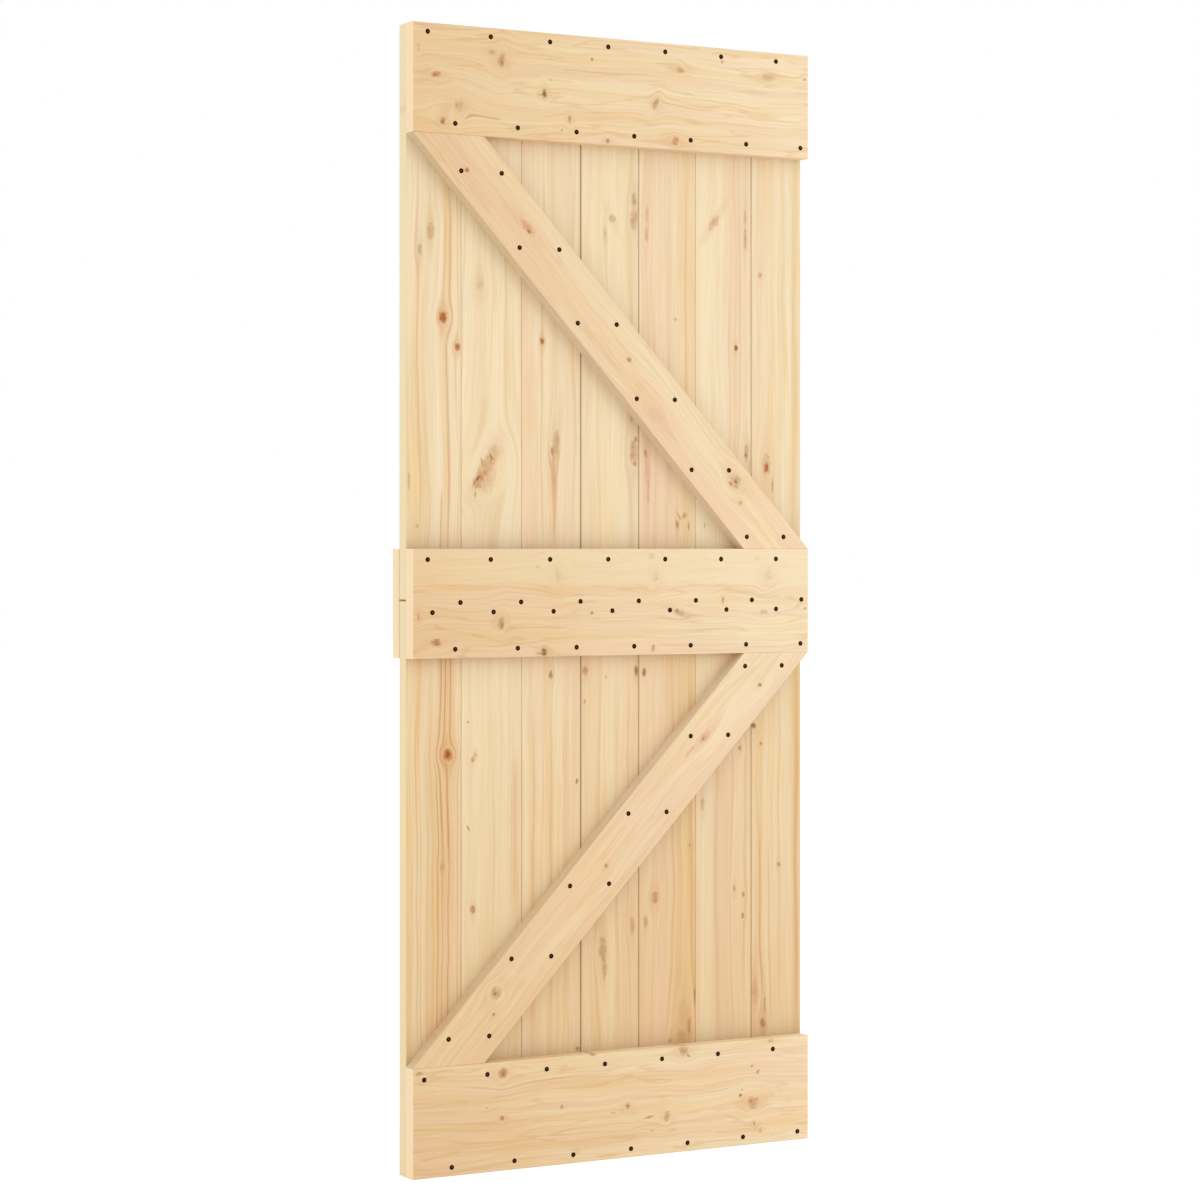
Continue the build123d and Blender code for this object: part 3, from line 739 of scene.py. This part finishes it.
def painted_corner_shade(r, node, x, z):
    """How strong the painted shade is on a board's spot near a rail or brace, and near the ledge below it, from 0 to
    1.
    """
    upper = node.startswith("upper")
    brace = "upper_brace" if upper else "lower_brace"
    above, below = ("top_rail", "middle_rail") if upper else ("middle_rail", "bottom_rail")
    low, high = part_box(brace)
    angle = radians(brace_angle(brace))
    half_width = brace_cut(brace) * sin(angle) / 2
    middle = (low + high) / 2
    from_line = r.maths("MULTIPLY_ADD", x, -sin(angle), r.maths("MULTIPLY", z, cos(angle)))
    from_line = r.maths("ADD", from_line, middle.x * sin(angle) - middle.z * cos(angle))
    gaps = (r.maths("SUBTRACT", r.maths("ABSOLUTE", from_line), half_width),
            r.maths("SUBTRACT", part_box(above)[0].z, z), r.maths("SUBTRACT", z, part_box(below)[1].z))
    nearest = r.maths("MAXIMUM", r.maths("MINIMUM", gaps[0], r.maths("MINIMUM", gaps[1], gaps[2])), 0.0)
    near = r.maths("MULTIPLY", r.maths("EXPONENT", r.maths("DIVIDE", nearest, -18 * MM)), 0.8)
    return near, r.maths("EXPONENT", r.maths("DIVIDE", r.maths("MAXIMUM", gaps[2], 0.0), -25 * MM))


def screw_material(settings):
    """Steel with a dark brown coat, darker and rougher in small patches."""
    material = bpy.data.materials.new("screw_coat")
    material.use_nodes = True
    tree = material.node_tree
    tree.nodes.clear()
    r = Recipe(tree)
    place = r.node("TexCoord").outputs["Object"]
    patch = r.noise(place, (900, 900, 900), 3.0)
    colour = r.mix(patch, settings.coat, [c * 0.6 for c in settings.coat])
    roughness = r.step(patch, 0.2, 0.8, 0.4, 0.6)
    shader = r.node("BsdfPrincipled", {"Base Color": colour, "Roughness": roughness})
    shader.inputs["Metallic"].default_value = 0.1
    shader.inputs["Specular IOR Level"].default_value = 0.15
    r.node("OutputMaterial", {"Surface": shader.outputs[0]})
    return material


# Modelling helpers

def clear_selection():
    if bpy.context.object and bpy.context.object.mode != "OBJECT":
        bpy.ops.object.mode_set(mode="OBJECT")
    bpy.ops.object.select_all(action="DESELECT")


def finish_piece(piece, name, slot, material, *nodes):
    """Names a finished piece, gives it its material and seats it on the leaf."""
    piece.name = name
    piece.data.name = name
    piece.data.materials.clear()
    piece.data.materials.append(material)
    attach(piece, "root")
    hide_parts(*nodes)


def put_in_mesh(piece):
    """Moves a piece's place and size into its mesh, so that its object sits at the origin."""
    clear_selection()
    piece.select_set(True)
    bpy.context.view_layer.objects.active = piece
    bpy.ops.object.transform_apply(location=True, rotation=True, scale=True)


def heads(nodes):
    """The middle of each screw head in these groups, read from the frame."""
    found = []
    for node in nodes:
        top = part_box(node)[0].y
        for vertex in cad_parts[node].data.vertices:
            if vertex.co.y > top + 0.05 * MM:
                continue
            for group in found:
                if (group[0] - vertex.co).length < 9 * MM:
                    group.append(vertex.co.copy())
                    break
            else:
                found.append([vertex.co.copy()])
    if not found:
        raise RuntimeError(f"no screw heads found in {', '.join(nodes)}")
    return [Vector(((min(p.x for p in g) + max(p.x for p in g)) / 2, g[0].y,
                    (min(p.z for p in g) + max(p.z for p in g)) / 2)) for g in found]


def seat_cutter(spots, settings):
    """All the countersinks of one timber as one mesh of cones."""
    clear_selection()
    cones = []
    over = 1.0 * MM
    depth = settings.head_radius + 0.3 * MM
    for spot in spots:
        bpy.ops.mesh.primitive_cone_add(
            vertices=32, radius1=settings.head_radius + 0.35 * MM + over, radius2=0.5 * MM,
            depth=depth + over, location=(spot.x, RAIL_FRONT + (depth - over) / 2, spot.z),
            rotation=(radians(-90), 0, 0))
        cones.append(bpy.context.object)
    for cone in cones:
        cone.select_set(True)
    bpy.context.view_layer.objects.active = cones[0]
    bpy.ops.object.join()
    return bpy.context.object


def cut_seats(piece, spots, settings):
    """Sinks a countersink into a timber at each screw."""
    cutter = seat_cutter(spots, settings)
    clear_selection()
    piece.select_set(True)
    bpy.context.view_layer.objects.active = piece
    cut = piece.modifiers.new("seats", "BOOLEAN")
    cut.operation = "DIFFERENCE"
    cut.solver = "EXACT"
    cut.object = cutter
    bpy.ops.object.modifier_apply(modifier=cut.name)
    bpy.data.objects.remove(cutter)


def ease_edges(piece, outer_y, arris):
    """Rounds the edges around the outer face and along the ends."""
    clear_selection()
    piece.select_set(True)
    bpy.context.view_layer.objects.active = piece
    bpy.ops.object.mode_set(mode="EDIT")
    mesh = bmesh.from_edit_mesh(piece.data)
    for edge in mesh.edges:
        edge.select_set(all(abs(v.co.y - outer_y) < 0.1 * MM for v in edge.verts))
    mesh.select_flush(False)
    bmesh.update_edit_mesh(piece.data)
    bpy.ops.mesh.bevel(offset=arris, segments=4, affect="EDGES")
    bpy.ops.object.mode_set(mode="OBJECT")


def new_rail(node):
    """A plain level rail, its box taken from the frame."""
    low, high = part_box(node)
    clear_selection()
    bpy.ops.mesh.primitive_cube_add(size=1, location=(low + high) / 2, scale=high - low)
    return bpy.context.object


def new_brace(node):
    """A slanting brace: a block whose upper end is slid along to the far side."""
    low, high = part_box(node)
    cut = brace_cut(node)
    clear_selection()
    bpy.ops.mesh.primitive_cube_add(size=1, location=(low + high) / 2,
                                    scale=(cut, high.y - low.y, high.z - low.z))
    piece = bpy.context.object
    put_in_mesh(piece)
    leans_right = node == "lower_brace"
    slide = (high.x - low.x - cut) / 2 * (1 if leans_right else -1)
    middle = (low.z + high.z) / 2
    bpy.ops.object.mode_set(mode="EDIT")
    pick_corners(piece, lambda corner: corner.z > middle)
    bpy.ops.transform.translate(value=(slide, 0, 0))
    pick_corners(piece, lambda corner: corner.z < middle)
    bpy.ops.transform.translate(value=(-slide, 0, 0))
    bpy.ops.object.mode_set(mode="OBJECT")
    return piece


def pick_corners(piece, test):
    """Selects, in edit mode, the corners whose place passes the test."""
    mesh = bmesh.from_edit_mesh(piece.data)
    for vertex in mesh.verts:
        vertex.select_set(test(vertex.co))
    mesh.select_flush_mode()
    bmesh.update_edit_mesh(piece.data)


def brace_cut(node):
    """Length of a brace's level end, read from the frame."""
    low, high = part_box(node)
    foot = [v.co.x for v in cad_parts[node].data.vertices if v.co.z < low.z + 0.01 * MM]
    return max(foot) - min(foot)


def brace_angle(node):
    """Slope of a brace, in degrees from level."""
    low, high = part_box(node)
    run = high.x - low.x - brace_cut(node)
    slope = degrees(atan2(high.z - low.z, run))
    return slope if node == "lower_brace" else 180 - slope


def grain_angle(node):
    """Direction of a timber's grain, in degrees from level."""
    if node in BOARD_NODES:
        return 90
    return brace_angle(node) if node in BRACE_NODES else 0


# Operators: one for each group of like pieces

class DOOR_OT_boards(bpy.types.Operator):
    """Finish the tongue and groove boards"""
    bl_idname = "door.boards"
    bl_label = "Boards"

    def execute(self, context):
        settings = context.scene.door_timber
        for node in BOARD_NODES:
            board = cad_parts[node]
            board.data.materials.clear()
            board.data.materials.append(timber_material(node, settings))
        return {"FINISHED"}


class DOOR_OT_rails(bpy.types.Operator):
    """Model the rails, with a countersink for each screw"""
    bl_idname = "door.rails"
    bl_label = "Rails"

    def execute(self, context):
        settings = context.scene.door_timber
        for node in RAIL_NODES + ["back_rail"]:
            low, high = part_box(node)
            outer_y = high.y if node == "back_rail" else low.y
            rail = new_rail(node)
            put_in_mesh(rail)
            ease_edges(rail, outer_y, settings.arris)
            if SCREWS_OF[node]:
                cut_seats(rail, heads(SCREWS_OF[node]), context.scene.door_screws)
            finish_piece(rail, node + "_timber", "rail_wood", timber_material(node, settings), node)
        return {"FINISHED"}


class DOOR_OT_braces(bpy.types.Operator):
    """Model the two slanting braces"""
    bl_idname = "door.braces"
    bl_label = "Braces"

    def execute(self, context):
        settings = context.scene.door_timber
        for node in BRACE_NODES:
            brace = new_brace(node)
            ease_edges(brace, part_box(node)[0].y, settings.arris)
            cut_seats(brace, heads(SCREWS_OF[node]), context.scene.door_screws)
            finish_piece(brace, node + "_timber", "brace_wood", timber_material(node, settings), node)
        return {"FINISHED"}


def new_screw(settings, length):
    """One screw with its head's face at the origin, facing -Y."""
    clear_selection()
    neck = 2.2 * MM
    bpy.ops.mesh.primitive_circle_add(vertices=24, radius=settings.head_radius, fill_type="NGON",
                                      rotation=(radians(90), 0, 0))
    screw = bpy.context.object
    put_in_mesh(screw)
    bpy.ops.object.mode_set(mode="EDIT")
    bpy.ops.mesh.inset(thickness=settings.head_radius - settings.recess_radius)
    bpy.ops.mesh.extrude_region_move(TRANSFORM_OT_translate={"value": (0, settings.recess_depth, 0)})
    for lobe, grow in ((1, 1.18), (-1, 0.82)):
        pick_corners(screw, lambda corner: Vector((corner.x, corner.z)).length < 1.3 * settings.recess_radius
                     and lobe * cos(6 * atan2(corner.z, corner.x)) > 0.5)
        bpy.ops.transform.resize(value=(grow, 1, grow), center_override=(0, 0, 0))
    mesh = bmesh.from_edit_mesh(screw.data)
    bpy.ops.mesh.select_all(action="DESELECT")
    for edge in mesh.edges:
        edge.select_set(edge.is_boundary)
    bmesh.update_edit_mesh(screw.data)
    shank = 2.0 * MM
    for reach, grow in ((neck, shank / settings.head_radius), (length - neck - 5 * MM, 1.0), (5 * MM, 0.1)):
        bpy.ops.mesh.extrude_region_move(TRANSFORM_OT_translate={"value": (0, reach, 0)})
        bpy.ops.transform.resize(value=(grow, 1, grow), center_override=(0, 0, 0))
    bpy.ops.mesh.edge_face_add()
    bpy.ops.mesh.select_all(action="SELECT")
    bpy.ops.mesh.normals_make_consistent(inside=False)
    bpy.ops.object.mode_set(mode="OBJECT")
    return screw


class DOOR_OT_screws(bpy.types.Operator):
    """Model the countersunk screws and set one in each seat"""
    bl_idname = "door.screws"
    bl_label = "Screws"

    def execute(self, context):
        settings = context.scene.door_screws
        coat = screw_material(settings)
        for node in SCREW_NODES:
            low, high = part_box(node)
            pattern = new_screw(settings, high.y - low.y)
            copies = []
            for number, spot in enumerate(heads([node])):
                copy = pattern.copy()
                copy.data = pattern.data.copy()
                copy.data.transform(Matrix.Translation(spot) @ Matrix.Rotation(number * 2.4, 4, "Y"))
                context.scene.collection.objects.link(copy)
                copies.append(copy)
            bpy.data.objects.remove(pattern)
            clear_selection()
            for copy in copies:
                copy.select_set(True)
            context.view_layer.objects.active = copies[0]
            bpy.ops.object.join()
            finish_piece(context.object, node + "_set", "screw_steel", coat, node)
        return {"FINISHED"}


class DOOR_OT_stage(bpy.types.Operator):
    """Set up the floor, the light and the camera"""
    bl_idname = "door.stage"
    bl_label = "Stage"

    def execute(self, context):
        settings = context.scene.door_stage
        scene = context.scene
        scene.view_settings.view_transform = "Standard"
        clear_selection()
        bpy.ops.mesh.primitive_plane_add(size=60, location=(0, 0, -0.0005))
        floor = context.object
        floor.name = "floor"
        floor.data.materials.append(floor_material(settings))
        world = bpy.data.worlds.new("studio")
        scene.world = world
        world.use_nodes = True
        world.node_tree.nodes.clear()
        r = Recipe(world.node_tree)
        strength = r.step(seen_straight(r), 0.0, 1.0, settings.sky_strength, 1.0)
        sky = r.node("Background", {"Color": (1, 1, 1), "Strength": strength})
        r.node("OutputWorld", {"Surface": sky.outputs[0]})
        add_lamp("key", (3.4, -4.2, 2.3), (0, 0, 1.05), 2.4, settings.key_strength)
        add_lamp("side", (-4.2, -1.5, 1.3), (0, 0, 1.05), 2.4, settings.side_strength)
        bpy.ops.object.camera_add(location=(-2.9415, -5.2812, 1.1446), rotation=(radians(90), 0, radians(-29.005)))
        camera = context.object
        camera.data.lens = 96.08
        camera.data.sensor_width = 36
        camera.data.shift_y = -0.04315
        scene.camera = camera
        return {"FINISHED"}


def add_lamp(name, place, target, size, power):
    """A large square soft lamp that looks at the target."""
    look = (Vector(target) - Vector(place)).to_track_quat("-Z", "Y").to_euler()
    bpy.ops.object.light_add(type="AREA", location=place, rotation=look)
    lamp = bpy.context.object
    lamp.name = name
    lamp.data.shape = "SQUARE"
    lamp.data.size = size
    lamp.data.energy = power


def seen_straight(r):
    """1 where the camera sees a thing itself, or through a gloss or glass, and 0 for its light."""
    path = r.node("LightPath").outputs
    return r.maths("MAXIMUM", path["Is Camera Ray"],
                   r.maths("MAXIMUM", path["Is Glossy Ray"], path["Is Transmission Ray"]))


def floor_material(settings):
    """Pale matt floor that shows white where no shadow falls."""
    material = bpy.data.materials.new("floor_paint")
    material.use_nodes = True
    material.node_tree.nodes.clear()
    r = Recipe(material.node_tree)
    paint = r.node("BsdfDiffuse", {"Color": settings.floor_colour})
    glow = r.node("Emission", {"Color": (1, 1, 1), "Strength": r.maths("MULTIPLY", seen_straight(r), 0.4)})
    both = r.node("AddShader")
    r.give(both.inputs[0], paint.outputs[0])
    r.give(both.inputs[1], glow.outputs[0])
    r.node("OutputMaterial", {"Surface": both.outputs[0]})
    return material


class DOOR_PT_panel(bpy.types.Panel):
    """Lists the steps that build the leaf"""
    bl_idname = "DOOR_PT_panel"
    bl_label = "Barn door"
    bl_space_type = "VIEW_3D"
    bl_region_type = "UI"
    bl_category = "Barn door"

    def draw(self, context):
        for step in STEPS:
            self.layout.operator(step.bl_idname)
        for group in (context.scene.door_timber, context.scene.door_screws, context.scene.door_stage):
            for name in group.bl_rna.properties.keys():
                if name not in ("rna_type", "name"):
                    self.layout.prop(group, name)


STEPS = (DOOR_OT_boards, DOOR_OT_rails, DOOR_OT_braces, DOOR_OT_screws, DOOR_OT_stage)
CLASSES = (TimberSettings, ScrewSettings, StageSettings, *STEPS, DOOR_PT_panel)


def register():
    for item in CLASSES:
        bpy.utils.register_class(item)
    bpy.types.Scene.door_timber = bpy.props.PointerProperty(type=TimberSettings)
    bpy.types.Scene.door_screws = bpy.props.PointerProperty(type=ScrewSettings)
    bpy.types.Scene.door_stage = bpy.props.PointerProperty(type=StageSettings)


def unregister():
    del bpy.types.Scene.door_stage
    del bpy.types.Scene.door_screws
    del bpy.types.Scene.door_timber
    for item in reversed(CLASSES):
        bpy.utils.unregister_class(item)


def main():
    register()
    knot_group()
    streak_group()
    pine_group()
    bpy.ops.door.boards()
    bpy.ops.door.rails()
    bpy.ops.door.braces()
    bpy.ops.door.screws()
    bpy.ops.door.stage()


if __name__ == "__main__":
    main()
